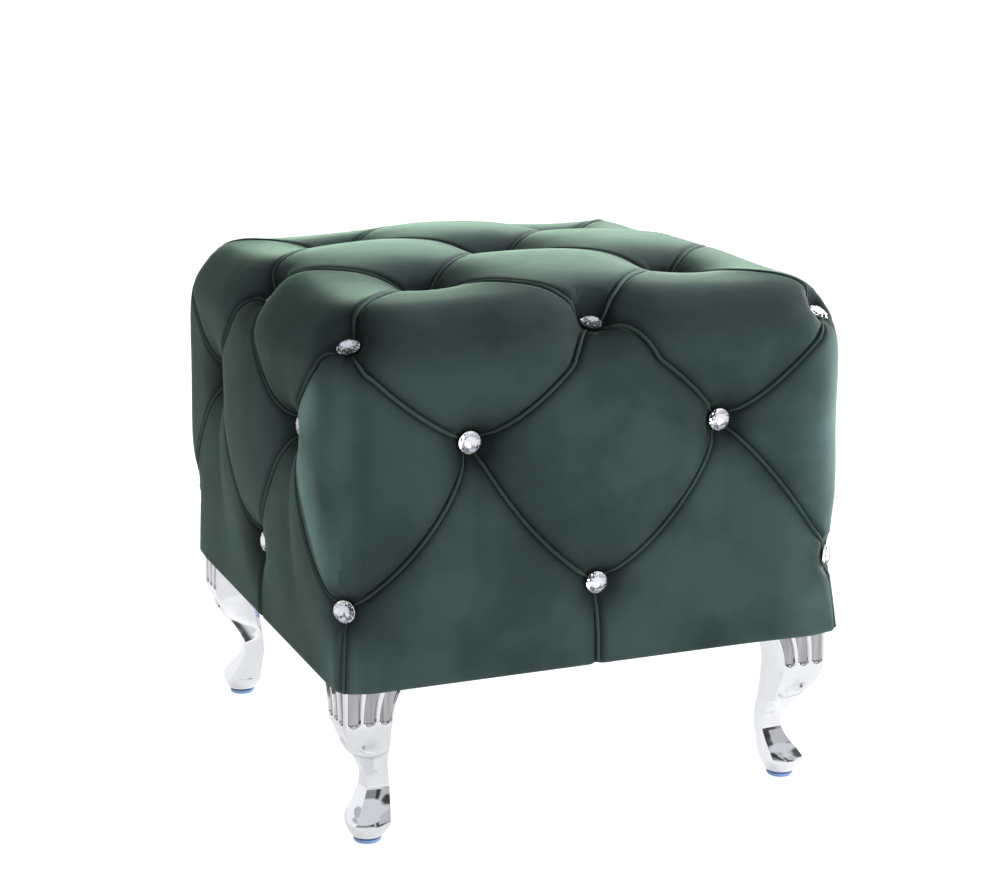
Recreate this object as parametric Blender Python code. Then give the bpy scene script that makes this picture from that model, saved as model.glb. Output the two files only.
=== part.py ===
"""Cube pouf stool: a deep-buttoned velvet cube on four cast cabriole legs.

Metres, +Z up. The origin is on the floor, under the centre of the body. The front is -Y.
The cover is worked out on a sharp-edged box: each seam is a straight line there, from button
to button. That box is rounded, and every panel between the seams is puffed out from it.
"""

import math

import bmesh
import bpy
import numpy as np
from mathutils import Matrix, Vector

# Body: the sharp-edged box through the buttons, and the hem below it
HEM_HALF = 0.240  # half of the width and of the depth, at the hem
DRAWN_IN = 0.004  # how much further in the side buttons pull the cover
HALF = HEM_HALF - DRAWN_IN
HEM = 0.148  # underside of the body, on top of the legs
TOP = 0.453  # plane of the buttons in the middle of the top
LOW_ROW = 0.220  # height of the buttons on the corners and mid sides
MID_ROW = 0.356  # height of the two buttons on each side
QUARTER = HALF / 2  # from the centre to the buttons at the quarters

# Rounding of the box under the puffs
HEM_RADIUS = 0.007  # upright corner, at the hem
CORNER_RADIUS = 0.027  # upright corner and top edge where they meet
EDGE_RADIUS = 0.040  # top edge, at the middle of a side
EDGE_BLEND = 0.100  # height over which the corner's radius gives way to the edge's
EDGE_SLOPE = 0.63  # slope of the box where its top edge has been rounded off

# Puffs: how far the seams arch between two buttons, and how far the panels rise
FULLNESS = 2.5  # 2 is a parabola from button to button, more is flatter with steeper ends
INNER_ARCH = 0.034  # the top is crowned: fullest round its centre, lowest at its corners
OUTER_ARCH = 0.0295
TIP_ARCH = 0.025
UPPER_ARCH = 0.013
NEAR_TIP_ARCH = 0.010
LOWER_ARCH = 0.011
HEM_ARCH = 0.002
TOP_CREST = 0.038
EDGE_CREST = 0.018
SIDE_CREST = 0.018
CORNER_CREST = 0.011
HEM_CREST = 0.011
UNEVEN = 0.0012  # hand-stuffed panels differ by this much

# Piped seams and the hem
PIPE_RISE = 0.0016
PIPE_DIP = 0.0008
PIPE_FADE = 0.014  # the piping sinks away this near a button
HEM_TUCK = 0.0015

# Buttons of one side and of its quarter of the top, on the sheet laid out flat
PLACES = {
    "left_top": (-HALF, TOP),
    "mid_top": (0.0, TOP),
    "right_top": (HALF, TOP),
    "left_mid": (-QUARTER, MID_ROW),
    "right_mid": (QUARTER, MID_ROW),
    "left_low": (-HALF, LOW_ROW),
    "mid_low": (0.0, LOW_ROW),
    "right_low": (HALF, LOW_ROW),
    "left_in": (-QUARTER, TOP + QUARTER),
    "right_in": (QUARTER, TOP + QUARTER),
    "centre": (0.0, TOP + HALF),
    "round_left": (-2 * HALF + QUARTER, MID_ROW),
}
ROUND_LEFT = {"left_top": "right_top", "left_low": "right_low", "round_left": "right_mid"}

SEAMS = (
    # the two buttons, arch, bow to the right in the plane of a side, the same on the left side
    ("left_top", "left_mid", NEAR_TIP_ARCH, -0.010, -0.004),
    ("mid_top", "left_mid", UPPER_ARCH, 0.010, -0.004),
    ("mid_top", "right_mid", UPPER_ARCH, 0.006, -0.010),
    ("right_top", "right_mid", NEAR_TIP_ARCH, 0.007, 0.0),
    ("left_mid", "left_low", LOWER_ARCH, 0.016, 0.0),
    ("left_mid", "mid_low", LOWER_ARCH, -0.013, -0.012),
    ("right_mid", "mid_low", LOWER_ARCH, 0.012, 0.0),
    ("right_mid", "right_low", LOWER_ARCH, 0.004, -0.014),
    ("left_top", "left_in", TIP_ARCH, 0.0, 0.0),
    ("right_top", "right_in", TIP_ARCH, 0.0, 0.0),
    ("mid_top", "left_in", OUTER_ARCH, 0.0, 0.0),
    ("mid_top", "right_in", OUTER_ARCH, 0.0, 0.0),
    ("left_in", "centre", INNER_ARCH, 0.0, 0.0),
    ("right_in", "centre", INNER_ARCH, 0.0, 0.0),
)

PANELS = (
    # buttons from the lowest and then round by the right, height of the crest
    ("mid_low", "right_mid", "mid_top", "left_mid", SIDE_CREST),
    ("left_low", "left_mid", "left_top", "round_left", CORNER_CREST),
    ("left_mid", "mid_top", "left_in", "left_top", EDGE_CREST),
    ("right_mid", "right_top", "right_in", "mid_top", EDGE_CREST),
    ("mid_top", "right_in", "centre", "left_in", TOP_CREST),
)
HEM_PANELS = (("left_low", "left_mid", "mid_low"), ("mid_low", "right_mid", "right_low"))

# Seats of the buttons, and how much deeper than the rounded box each kind sits
SINKS = {
    "corner_top": 0.007,
    "edge_top": 0.002,
    "top": 0.004,
    "side_left": 0.008,
    "side_right": 0.008,
    "corner_low": 0.003,
    "side_low": 0.006,
}
SINK_REACH = 0.026  # how far round a button the cover follows it down
SEAT_RINGS = (0.0, 0.0055, 0.0122)  # radius of each ring of points in the flat seat
EDGE_LEAN = math.radians(20)  # buttons on the top edge, from upright
CORNER_LEAN = math.radians(28)  # buttons on the top corners, from upright

# Grid lines across a panel, from seam to seam, and up a hem panel
LINES = (0.0, 0.030, 0.075, 0.16, 0.30, 0.50, 0.70, 0.84, 0.925, 0.970, 1.0)
HEM_LINES = (0.0, 0.02, 0.20, 0.42, 0.65, 0.84, 0.94, 1.0)

# Buttons
GAP = 0.0003
BUTTON_RADIUS = 0.010
BUTTON_FOOT = 0.0055
BUTTON_GIRDLE = (0.0029, 0.0038)
BUTTON_TABLE = 0.0056
BUTTON_HEIGHT = 0.0066
BUTTON_SIDES = 10

# Legs: ring by ring from the top, measured inwards from the body's corner on both axes
LEG_RINGS = (
    # height, ridge inset, side, reed depth, roundness, spread from side to side
    (0.1477, 0.0060, 0.0525, 0.0020, 0.00, 1.04),
    (0.1380, 0.0060, 0.0482, 0.0020, 0.00, 1.03),
    (0.1260, 0.0060, 0.0450, 0.0020, 0.00, 1.02),
    (0.1210, 0.0066, 0.0438, 0.0012, 0.00, 1.01),
    (0.1160, 0.0080, 0.0420, 0.0000, 0.00, 1.00),
    (0.1010, 0.0106, 0.0395, 0.0000, 0.05, 0.97),
    (0.0885, 0.0168, 0.0338, 0.0000, 0.08, 0.97),
    (0.0765, 0.0250, 0.0265, 0.0000, 0.08, 0.98),
    (0.0660, 0.0312, 0.0218, 0.0000, 0.08, 1.02),
    (0.0570, 0.0350, 0.0188, 0.0000, 0.08, 1.10),
    (0.0495, 0.0350, 0.0190, 0.0000, 0.10, 1.12),
    (0.0415, 0.0325, 0.0208, 0.0000, 0.15, 1.12),
    (0.0335, 0.0280, 0.0242, 0.0000, 0.20, 1.10),
    (0.0255, 0.0225, 0.0288, 0.0000, 0.30, 1.05),
    (0.0180, 0.0190, 0.0315, 0.0000, 0.45, 1.02),
    (0.0115, 0.0216, 0.0262, 0.0000, 0.80, 1.00),
    (0.0063, 0.0245, 0.0206, 0.0000, 1.00, 1.00),
)
REEDS = 3  # on each of the two outer faces
REED_STEPS = 3
INNER_STEPS = 3
REED_TIP = 0.0040  # the middle of a reed ends this much lower than its sides

# Glides
GLIDE_RADIUS = 0.013
GLIDE_HEIGHT = 0.006
GLIDE_BEVEL = 0.001

VELVET = ((0.030, 0.064, 0.056), 0.75, 0.0)
GLASS = ((0.90, 0.91, 0.94), 0.05, 0.0)
CHROME = ((0.86, 0.87, 0.89), 0.08, 1.0)
PLASTIC = ((0.33, 0.55, 0.90), 0.35, 0.0)


def clear_scene():
    """Remove every object, so that the model stands alone."""
    for obj in list(bpy.data.objects):
        bpy.data.objects.remove(obj, do_unlink=True)


def material(name, colour, roughness, metallic):
    """A Principled material of one colour and finish."""
    made = bpy.data.materials.new(name)
    made.use_nodes = True
    shader = made.node_tree.nodes["Principled BSDF"]
    shader.inputs["Base Color"].default_value = (*colour, 1.0)
    shader.inputs["Roughness"].default_value = roughness
    shader.inputs["Metallic"].default_value = metallic
    return made


def add_object(name, mesh_data, finish, collection):
    """Put a bmesh into the collection as a smooth-shaded object with its own material."""
    mesh = bpy.data.meshes.new(name)
    bmesh.ops.recalc_face_normals(mesh_data, faces=mesh_data.faces)
    mesh_data.to_mesh(mesh)
    mesh_data.free()
    mesh.shade_smooth()
    mesh.set_sharp_from_angle(angle=math.radians(35))
    mesh.materials.append(material(name, *finish))
    obj = bpy.data.objects.new(name, mesh)
    collection.objects.link(obj)
    return obj


# --- The cover -------------------------------------------------------------------------


def smooth(value):
    """Ease from 0 to 1, flat at both ends."""
    held = min(max(value, 0.0), 1.0)
    return held * held * (3 - 2 * held)


def swell(along):
    """Rise between two buttons: 0 at both, 1 half way."""
    return 1 - abs(2 * along - 1) ** FULLNESS


def fold(across, up):
    """Point of the sharp box, from a place on its front laid out flat.

    Past the top edge the sheet goes on over the top, and past the left edge along the left side.
    """
    if up > TOP:
        return np.array((across, up - TOP - HALF, TOP))
    if across < -HALF:
        return np.array((-HALF, -2 * HALF - across, up))
    return np.array((across, -HALF, up))


def rounding(point):
    """Radius of the box's edges near a point."""
    upright = math.sqrt(max(point[2] - HEM, 0.0) / (TOP - HEM))
    corner = HEM_RADIUS + (CORNER_RADIUS - HEM_RADIUS) * upright
    nearness = abs(point[0] * point[1]) / HALF**2
    edge = EDGE_RADIUS + (CORNER_RADIUS - EDGE_RADIUS) * nearness
    share = smooth((point[2] - TOP + EDGE_BLEND) / EDGE_BLEND)
    return corner + (edge - corner) * share


def round_off(point):
    """Point and outward normal of the rounded box, for a point of the sharp box.

    The sharp top edge goes to a line that faces mostly up, where the edge's buttons sit.
    """
    radius = rounding(point)
    inner = np.array((HALF - radius, HALF - radius, TOP - radius))
    held = np.clip(point, (-inner[0], -inner[1], 0.0), inner)
    way = (point - held) * (EDGE_SLOPE, EDGE_SLOPE, 1.0)
    normal = way / np.linalg.norm(way)
    return held + radius * normal, normal


def unevenness(point):
    """Slow wander of the stuffing, in metres."""
    x, y, z = point / QUARTER
    wave = math.sin(1.7 * x + 0.9 * y + 0.4) + math.sin(1.3 * y - 1.9 * z + 2.1)
    return UNEVEN * (wave + math.sin(2.3 * z + 1.1 * x + 1.0)) / 2


def turned(point, turns):
    """A point or direction turned by quarter turns about the upright axis."""
    x, y, z = point
    for _ in range(turns % 4):
        x, y = -y, x
    return np.array((x, y, z))


def button_seats():
    """Name, point, facing and sink of every button's seat, for one side and turned for the others.

    The point is the sunk one.
    """
    corner_way = np.array((-math.sin(CORNER_LEAN) / math.sqrt(2),) * 2 + (math.cos(CORNER_LEAN),))
    edge_way = np.array((0.0, -math.sin(EDGE_LEAN), math.cos(EDGE_LEAN)))
    one_side = (
        # name, place, facing where it isn't the box's own
        ("corner_top", "left_top", corner_way),
        ("edge_top", "mid_top", edge_way),
        ("top", "left_in", None),
        ("side_left", "left_mid", None),
        ("side_right", "right_mid", None),
        ("corner_low", "left_low", None),
        ("side_low", "mid_low", None),
    )
    centre, upwards = round_off(np.array((0.0, 0.0, TOP)))
    seats = [("button_top_centre", centre - SINKS["top"] * upwards, upwards, SINKS["top"])]
    for turns, side in enumerate(("front", "right", "back", "left")):
        for name, place, way in one_side:
            point, normal = round_off(fold(*PLACES[place]))
            facing = normal if way is None else way
            sunk = point - SINKS[name] * facing
            seat = (turned(sunk, turns), turned(facing, turns), SINKS[name])
            seats.append((f"button_{name}_{side}", *seat))
    return seats


def gathered(point, steps, seats):
    """A point of the cover drawn down towards the nearest button, or laid in its flat seat.

    The steps are those along the grid to that button, which gathers the grid into rings.
    """
    seat = min(seats, key=lambda entry: np.linalg.norm(point - entry[1] - entry[3] * entry[2]))
    _, middle, facing, sink = seat
    reach = np.linalg.norm(point - middle - sink * facing) / SINK_REACH
    point = point - sink * math.exp(-(reach**2)) * facing
    if steps >= len(SEAT_RINGS):
        return point
    away = point - middle
    flat = away - np.dot(away, facing) * facing
    if steps == 0:
        return middle
    return middle + SEAT_RINGS[steps] * flat / np.linalg.norm(flat)


def piping(distances, to_button):
    """Rise of the piped seam, from a panel's grid lines: up on the seam, down beside it."""
    fade = smooth(to_button / PIPE_FADE - 1)
    if min(distances) == 0:
        return PIPE_RISE * fade
    if min(distances) == 1:
        return -PIPE_DIP * fade
    return 0.0


def seam(one, other, turns):
    """Arch of the seam between two buttons, and its bow as a move on the sheet laid out flat."""
    run = np.subtract(PLACES[other], PLACES[one])
    aside = np.array((abs(run[1]), -math.copysign(run[0], run[0] * run[1]))) / math.hypot(*run)
    names = {one, other}
    if "round_left" in names:
        names = {ROUND_LEFT[name] for name in names}
        turns -= 1
    for first, second, arch, bow, left_bow in SEAMS:
        if {first, second} == names:
            return arch, aside * (left_bow if turns % 4 == 3 else bow)
    raise ValueError(f"no seam between {one} and {other}")


def on_seam(start, end, bow, along):
    """Place on a seam, laid out flat."""
    return (1 - along) * np.array(start) + along * np.array(end) + 4 * along * (1 - along) * bow


def near_button(point, names):
    """Distance from the nearest of the named buttons."""
    return min(np.linalg.norm(point - round_off(fold(*PLACES[name]))[0]) for name in names)


def diamond_panel(sheet, names, crest, turns, seats):
    """A puffed panel between four buttons, blended from its four seams.

    The buttons stand at a, b = (0, 0), (1, 0), (1, 1) and (0, 1).
    """
    count = len(LINES) - 1
    low, right, high, left = (np.array(PLACES[name]) for name in names)
    seams = [seam(names[n], names[(n + 1) % 4], turns) for n in range(4)]
    fill = crest - sum(arch for arch, _ in seams) / 2
    grid = bmesh.new()
    bmesh.ops.create_grid(grid, x_segments=count, y_segments=count, size=0.5)
    for vert in grid.verts:
        column = round((vert.co.x + 0.5) * count)
        row = round((vert.co.y + 0.5) * count)
        a, b = LINES[column], LINES[row]
        place = (1 - b) * ((1 - a) * low + a * right) + b * ((1 - a) * left + a * high)
        height = fill * swell(a) * swell(b)
        for (arch, bow), along, share in zip(seams, (a, b, a, b), (1 - b, a, b, 1 - a)):
            place = place + share * 4 * along * (1 - along) * bow
            height += share * swell(along) * arch
        point, normal = round_off(fold(*place))
        height += unevenness(turned(point, turns)) * swell(a) * swell(b)
        distances = (column, row, count - column, count - row)
        height += piping(distances, near_button(point, names))
        puffed = turned(point + height * normal, turns)
        steps = max(min(column, count - column), min(row, count - row))
        vert.co = Vector(gathered(puffed, steps, seats))
    join_sheet(sheet, grid)


def hem_panel(sheet, names, turns, seats):
    """The panel below two seams that meet at a peak: upright seams at its sides, hem below."""
    count = len(LINES) - 1
    rows = len(HEM_LINES) - 1
    bows = [seam(names[n], names[n + 1], turns)[1] for n in range(2)]
    grid = bmesh.new()
    bmesh.ops.create_grid(grid, x_segments=2 * count, y_segments=rows, size=0.5)
    for vert in grid.verts:
        column = round((vert.co.x + 0.5) * 2 * count)
        row = round((vert.co.y + 0.5) * rows)
        half = 0 if column <= count else 1
        along = LINES[column - half * count]
        rim = on_seam(PLACES[names[half]], PLACES[names[half + 1]], bows[half], along)
        a = (along + half) / 2
        b = HEM_LINES[row]
        point, normal = round_off(fold(rim[0], HEM + (rim[1] - HEM) * b))
        upright = DRAWN_IN * (1 - b) ** 2 + HEM_ARCH * swell(b)
        filled = DRAWN_IN * (1 - b) ** 2 + HEM_CREST * smooth(b / 0.8)
        inside = upright + (filled - upright) * swell(a)
        height = inside + (LOWER_ARCH * swell(along) - inside) * b**4
        if row == 0:
            height -= HEM_TUCK
        distances = (column, 2 * count - column, rows - row)
        height += piping(distances, near_button(point, names)) * (row > 1)
        puffed = turned(point + height * normal, turns)
        steps = max(min(column, abs(column - count), 2 * count - column), rows - row)
        vert.co = Vector(gathered(puffed, steps, seats))
    join_sheet(sheet, grid)


def join_sheet(sheet, grid):
    """Add one panel's grid to the cover."""
    patch = bpy.data.meshes.new("panel")
    grid.to_mesh(patch)
    grid.free()
    sheet.from_mesh(patch)
    bpy.data.meshes.remove(patch)


def tufted_body(collection, seats):
    """The whole cover as one closed solid: seven panels a side, and a flat underside."""
    sheet = bmesh.new()
    for turns in range(4):
        for *names, crest in PANELS:
            diamond_panel(sheet, names, crest, turns, seats)
        for names in HEM_PANELS:
            hem_panel(sheet, names, turns, seats)
    bmesh.ops.remove_doubles(sheet, verts=sheet.verts, dist=0.00002)
    rim = [edge for edge in sheet.edges if edge.is_boundary]
    for vert in {vert for edge in rim for vert in edge.verts}:
        vert.co.z = HEM
    bmesh.ops.contextual_create(sheet, geom=rim)
    return add_object("tufted_body", sheet, VELVET, collection)


# --- Buttons, legs and glides ----------------------------------------------------------


def button_mesh():
    """A cut glass button, turned about +Z with its foot at the origin."""
    low, high = BUTTON_GIRDLE
    profile = (
        (BUTTON_FOOT, 0.0),
        (BUTTON_RADIUS, low),
        (BUTTON_RADIUS, high),
        (BUTTON_TABLE, BUTTON_HEIGHT),
    )
    shape = bmesh.new()
    rings = []
    for radius, height in profile:
        place = Matrix.Translation((0, 0, height))
        made = bmesh.ops.create_circle(shape, segments=BUTTON_SIDES, radius=radius, matrix=place)
        rings.append(made["verts"])
    bmesh.ops.contextual_create(shape, geom=rings[0])
    bmesh.ops.contextual_create(shape, geom=rings[-1])
    loops = [edge for edge in shape.edges]
    bmesh.ops.bridge_loops(shape, edges=loops)
    return shape


def add_buttons(collection, seats):
    """One button on each seat, with its foot a hair above the cover."""
    for name, point, facing, _ in seats:
        button = add_object(name, button_mesh(), GLASS, collection)
        button.location = Vector(point + GAP * facing)
        button.rotation_euler = Vector(facing).to_track_quat("Z", "Y").to_euler()


def leg_outline(inset, side, reed, roundness, spread):
    """One ring of a leg: how far in from both sides of the body, and how much of a reed's crown.

    The ridge stands at (inset, inset). Two faces run from it along the body's sides, each with
    its reeds, and two plain faces close the ring on the inside.
    """
    outer_steps = REEDS * REED_STEPS
    outer = []
    for step in range(outer_steps):
        along = step / outer_steps
        crown = 0.0 if step % REED_STEPS == 0 else 1.0
        outer.append((inset + side * along, inset + reed * (1 - crown), crown))
    outer[0] = (inset + reed / 2, inset + reed / 2, 0.0)
    far = [(inset + side, inset + side * step / INNER_STEPS, 0.0) for step in range(INNER_STEPS)]
    half = outer + far
    mirrored = [(q, p, crown) for p, q, crown in reversed(half[1:])]
    middle = inset + side / 2
    ring = []
    for p, q, crown in half + [(inset + side, inset + side, 0.0)] + mirrored:
        way = Vector((p - middle, q - middle))
        disc = way.normalized() * side / math.sqrt(2)
        way = way.lerp(disc, roundness)
        wider = (way.x - way.y) / 2 * (spread - 1)
        ring.append((middle + way.x + wider, middle + way.y - wider, crown))
    return ring


def add_leg(name, collection, turns):
    """A cast cabriole leg: reeded block, full knee, slim ankle and a foot that flares out."""
    shape = bmesh.new()
    rings = []
    for height, *section in LEG_RINGS:
        ring = []
        tip = REED_TIP if 0 < section[2] < LEG_RINGS[0][3] else 0.0
        for p, q, crown in leg_outline(*section):
            place = turned((p - HEM_HALF, q - HEM_HALF, height - tip * crown), turns)
            ring.append(shape.verts.new(Vector(place)))
        rings.append(ring)
    for upper, lower in zip(rings, rings[1:]):
        for here in range(len(upper)):
            after = (here + 1) % len(upper)
            shape.faces.new((upper[here], upper[after], lower[after], lower[here]))
    shape.faces.new(rings[0])
    shape.faces.new(rings[-1])
    return add_object(name, shape, CHROME, collection)


def add_glide(name, collection, turns):
    """The round pad under a foot."""
    _, inset, side, *_ = LEG_RINGS[-1]
    centre = inset + side / 2 - HEM_HALF
    x, y, _ = turned((centre, centre, 0.0), turns)
    shape = bmesh.new()
    bmesh.ops.create_cone(
        shape,
        cap_ends=True,
        segments=20,
        radius1=GLIDE_RADIUS - GLIDE_BEVEL,
        radius2=GLIDE_RADIUS,
        depth=GLIDE_HEIGHT,
        matrix=Matrix.Translation((x, y, GLIDE_HEIGHT / 2)),
    )
    return add_object(name, shape, PLASTIC, collection)


def main():
    """Build the stool into its own collection."""
    clear_scene()
    collection = bpy.data.collections.new("cube_pouf_stool")
    bpy.context.scene.collection.children.link(collection)
    seats = button_seats()
    tufted_body(collection, seats)
    add_buttons(collection, seats)
    for turns, corner in enumerate(("front_left", "front_right", "back_right", "back_left")):
        add_leg(f"leg_{corner}", collection, turns)
        add_glide(f"glide_{corner}", collection, turns)


main()
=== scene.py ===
"""Cube pouf stool: a deep-buttoned velvet cube on four chrome cabriole legs.

Metres, +Z up, on the floor under the middle of the body, front towards -Y. The sections follow
the stool as it is put together: studio, velvet cover, piping, cut stones, legs and glides.
"""

import math

import bmesh
import bpy
import numpy as np
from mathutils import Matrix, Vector
from mathutils.kdtree import KDTree


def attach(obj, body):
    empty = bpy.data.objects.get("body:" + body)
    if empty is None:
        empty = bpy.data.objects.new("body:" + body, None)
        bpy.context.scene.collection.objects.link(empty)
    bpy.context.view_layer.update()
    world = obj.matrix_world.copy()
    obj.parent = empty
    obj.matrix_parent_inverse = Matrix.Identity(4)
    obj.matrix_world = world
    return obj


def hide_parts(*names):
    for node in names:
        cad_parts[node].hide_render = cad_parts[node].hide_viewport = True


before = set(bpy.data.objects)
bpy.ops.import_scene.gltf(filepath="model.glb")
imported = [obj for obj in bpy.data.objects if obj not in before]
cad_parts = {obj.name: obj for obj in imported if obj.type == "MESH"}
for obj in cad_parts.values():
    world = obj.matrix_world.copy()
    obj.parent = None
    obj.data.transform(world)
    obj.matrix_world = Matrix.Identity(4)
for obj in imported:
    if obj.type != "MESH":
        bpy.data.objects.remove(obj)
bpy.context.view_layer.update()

# --- Studio ------------------------------------------------------------------------------
# White paper that runs on to the horizon, lit evenly, with a low soft box at the front right and
# two rim lights behind it. The camera stands left of the front, a little above the seat.

CAMERA_AZIMUTH = math.radians(-21.95)
CAMERA_ELEVATION = math.radians(13.57)
CAMERA_DISTANCE = 2.105
CAMERA_TARGET = Vector((0.0028, 0.0, 0.2890))
LENS = 78.4
SENSOR = 36.0

scene = bpy.context.scene
scene.view_settings.view_transform = "Standard"


def way_from(azimuth, elevation):
    """Direction from the stool to a place round it. Azimuth 0 is the front, positive the right."""
    flat = math.cos(elevation)
    return Vector((math.sin(azimuth) * flat, -math.cos(azimuth) * flat, math.sin(elevation)))


def add_to_scene(name, data):
    """A new object at the origin, linked into the scene."""
    obj = bpy.data.objects.new(name, data)
    scene.collection.objects.link(obj)
    return obj


camera = add_to_scene("camera", bpy.data.cameras.new("camera"))
camera_way = way_from(CAMERA_AZIMUTH, CAMERA_ELEVATION)
camera.location = CAMERA_TARGET + CAMERA_DISTANCE * camera_way
camera.rotation_euler = (-camera_way).to_track_quat("-Z", "Y").to_euler()
camera.data.sensor_width = SENSOR
camera.data.lens = LENS
scene.camera = camera

KEY_AZIMUTH = math.radians(22.0)
KEY_ELEVATION = math.radians(5.0)
KEY_DISTANCE = 1.7
KEY_SIZE = 0.7
KEY_WATTS = 7.5
LIT_MIDDLE = Vector((0.0, 0.0, 0.30))

key_light = add_to_scene("key_light", bpy.data.lights.new("key_light", "AREA"))
key_light.data.size = KEY_SIZE
key_light.data.energy = KEY_WATTS
key_way = way_from(KEY_AZIMUTH, KEY_ELEVATION)
key_light.location = LIT_MIDDLE + KEY_DISTANCE * key_way
key_light.rotation_euler = key_way.to_track_quat("Z", "Y").to_euler()
key_light.visible_camera = False
key_light.visible_glossy = False

SUNS = (
    # name, azimuth, elevation, strength, angle of the soft source
    ("back_light", 136.0, 14.0, 3.2, 36.0),
    ("right_rim_light", 100.0, 12.0, 5.8, 30.0),
)
for name, azimuth, elevation, strength, angle in SUNS:
    sun = add_to_scene(name, bpy.data.lights.new(name, "SUN"))
    sun.data.energy = strength
    sun.data.angle = math.radians(angle)
    way = way_from(math.radians(azimuth), math.radians(elevation))
    sun.rotation_euler = way.to_track_quat("Z", "Y").to_euler()


def new_material(name):
    """A node material, and its tree and Principled shader."""
    made = bpy.data.materials.new(name)
    made.use_nodes = True
    return made, made.node_tree, made.node_tree.nodes["Principled BSDF"]


def fill(made, **settings):
    """Fill in a node's own settings and its sockets.

    A socket goes by its name, or by its number after an underscore, and takes a value or
    another node's output.
    """
    for key, value in settings.items():
        if hasattr(made, key):
            setattr(made, key, value)
            continue
        socket = made.inputs[int(key[1:]) if key[0] == "_" else key.replace("_", " ")]
        if isinstance(value, bpy.types.NodeSocket):
            made.id_data.links.new(value, socket)
        else:
            socket.default_value = value
    return made


def node(tree, kind, **settings):
    """A new node of that kind, filled in."""
    return fill(tree.nodes.new(kind), **settings)


def spread(tree, value, **settings):
    """The output of a Map Range node."""
    return node(tree, "ShaderNodeMapRange", Value=value, **settings).outputs["Result"]


def mixed(tree, share, one, other):
    """The mix of two colours, or of two numbers, each given or another node's output."""
    if isinstance(other, float):
        made = node(tree, "ShaderNodeMix", data_type="FLOAT", _0=share, _2=one, _3=other)
        return made.outputs[0]
    made = node(tree, "ShaderNodeMix", data_type="RGBA", _0=share, _6=one, _7=other)
    return made.outputs[2]


WHITE = (1, 1, 1, 1)
EVEN_LIGHT = (0.275, 0.28, 0.285, 1)
DOME = (0.70, 0.71, 0.74, 1)
DOME_EDGE = (0.60, 0.64)
FLAG_EDGE = (0.300, 0.315)
LOW_FRONT = (0.75, 0.75, 0.77, 1)
HIGH_FRONT = (0.26, 0.27, 0.28, 1)
LOW_SCREENS = (
    # place round the stool as a share of the turn, grey
    (0.10, 0.9), (0.16, 0.05), (0.20, 0.05), (0.24, 0.9), (0.46, 1.0), (0.55, 0.35), (0.60, 0.04),
    (0.64, 0.35), (0.70, 1.0), (0.86, 0.9), (0.90, 0.08), (0.93, 0.08), (0.96, 0.75),
)
FLAGS = (
    # the same, higher up
    (0.08, 0.04), (0.15, 0.75), (0.26, 0.10), (0.31, 0.50), (0.40, 0.03), (0.435, 0.25),
    (0.475, 0.04), (0.50, 0.80), (0.60, 0.06), (0.66, 0.70), (0.80, 0.10), (0.84, 0.55),
    (0.915, 0.05), (0.935, 0.55), (0.950, 0.05),
)

world = bpy.data.worlds.new("studio")
world.use_nodes = True
scene.world = world
tree = world.node_tree
direction = node(tree, "ShaderNodeTexCoord").outputs["Generated"]
x, y, z = node(tree, "ShaderNodeSeparateXYZ", Vector=direction).outputs
around = node(tree, "ShaderNodeMath", operation="ARCTAN2", _0=x, _1=y).outputs[0]
place = spread(tree, around, From_Min=-math.pi, From_Max=math.pi)


def screens(greys, front, last, blue, interpolation):
    """The colour of the screens all round, the front's own up to the first and from the last."""
    made = node(tree, "ShaderNodeValToRGB", Fac=place)
    made.color_ramp.interpolation = interpolation
    stops = made.color_ramp.elements
    for stop, where in zip(stops, (0.0, last)):
        stop.position, stop.color = where, front
    for where, grey in greys:
        stops.new(where).color = (grey, grey, grey * blue, 1)
    return made.outputs["Color"]


low = screens(LOW_SCREENS, LOW_FRONT, 1.0, 1.02, "EASE")
high = screens(FLAGS, HIGH_FRONT, 0.970, 1.04, "CONSTANT")
walls = mixed(tree, spread(tree, z, From_Min=FLAG_EDGE[0], From_Max=FLAG_EDGE[1]), low, high)
room = mixed(tree, spread(tree, z, From_Min=DOME_EDGE[0], From_Max=DOME_EDGE[1]), walls, DOME)
rays = node(tree, "ShaderNodeLightPath").outputs
lit = mixed(tree, rays["Is Glossy Ray"], EVEN_LIGHT, room)
seen = mixed(tree, rays["Is Camera Ray"], lit, WHITE)
fill(tree.nodes["Background"], Color=seen, Strength=1.0)

FLOOR_HALF = 40.0
PAPER_GREY = (0.40, 0.40, 0.40, 1)
PAPER_SHINE = 0.60
PAPER_WHITE = 0.95

floor_mesh = bmesh.new()
bmesh.ops.create_grid(floor_mesh, x_segments=1, y_segments=1, size=FLOOR_HALF)
floor_data = bpy.data.meshes.new("floor")
floor_mesh.to_mesh(floor_data)
floor_mesh.free()
floor = add_to_scene("floor", floor_data)
paper, tree, shader = new_material("white_paper")
where = node(tree, "ShaderNodeTexCoord").outputs["Object"]
reach = node(tree, "ShaderNodeVectorMath", operation="LENGTH", _0=where).outputs["Value"]
pool = spread(
    tree, reach, interpolation_type="SMOOTHSTEP",
    From_Min=0.45, From_Max=1.30, To_Min=0.42, To_Max=-0.10,
)
rays = node(tree, "ShaderNodeLightPath").outputs
shine = mixed(tree, rays["Is Glossy Ray"], pool, PAPER_SHINE)
glow = mixed(tree, rays["Is Camera Ray"], shine, PAPER_WHITE)
fill(
    shader, Base_Color=PAPER_GREY, Roughness=0.9, Specular_IOR_Level=0.1,
    Emission_Color=WHITE, Emission_Strength=glow,
)
floor_data.materials.append(paper)

# --- Velvet cover ------------------------------------------------------------------------
# One short-pile velvet cover over firm stuffing. Its diamonds are sewn edge to edge, and
# each crossing is drawn in by a button; the hem is rolled under the frame and stapled there.

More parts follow.
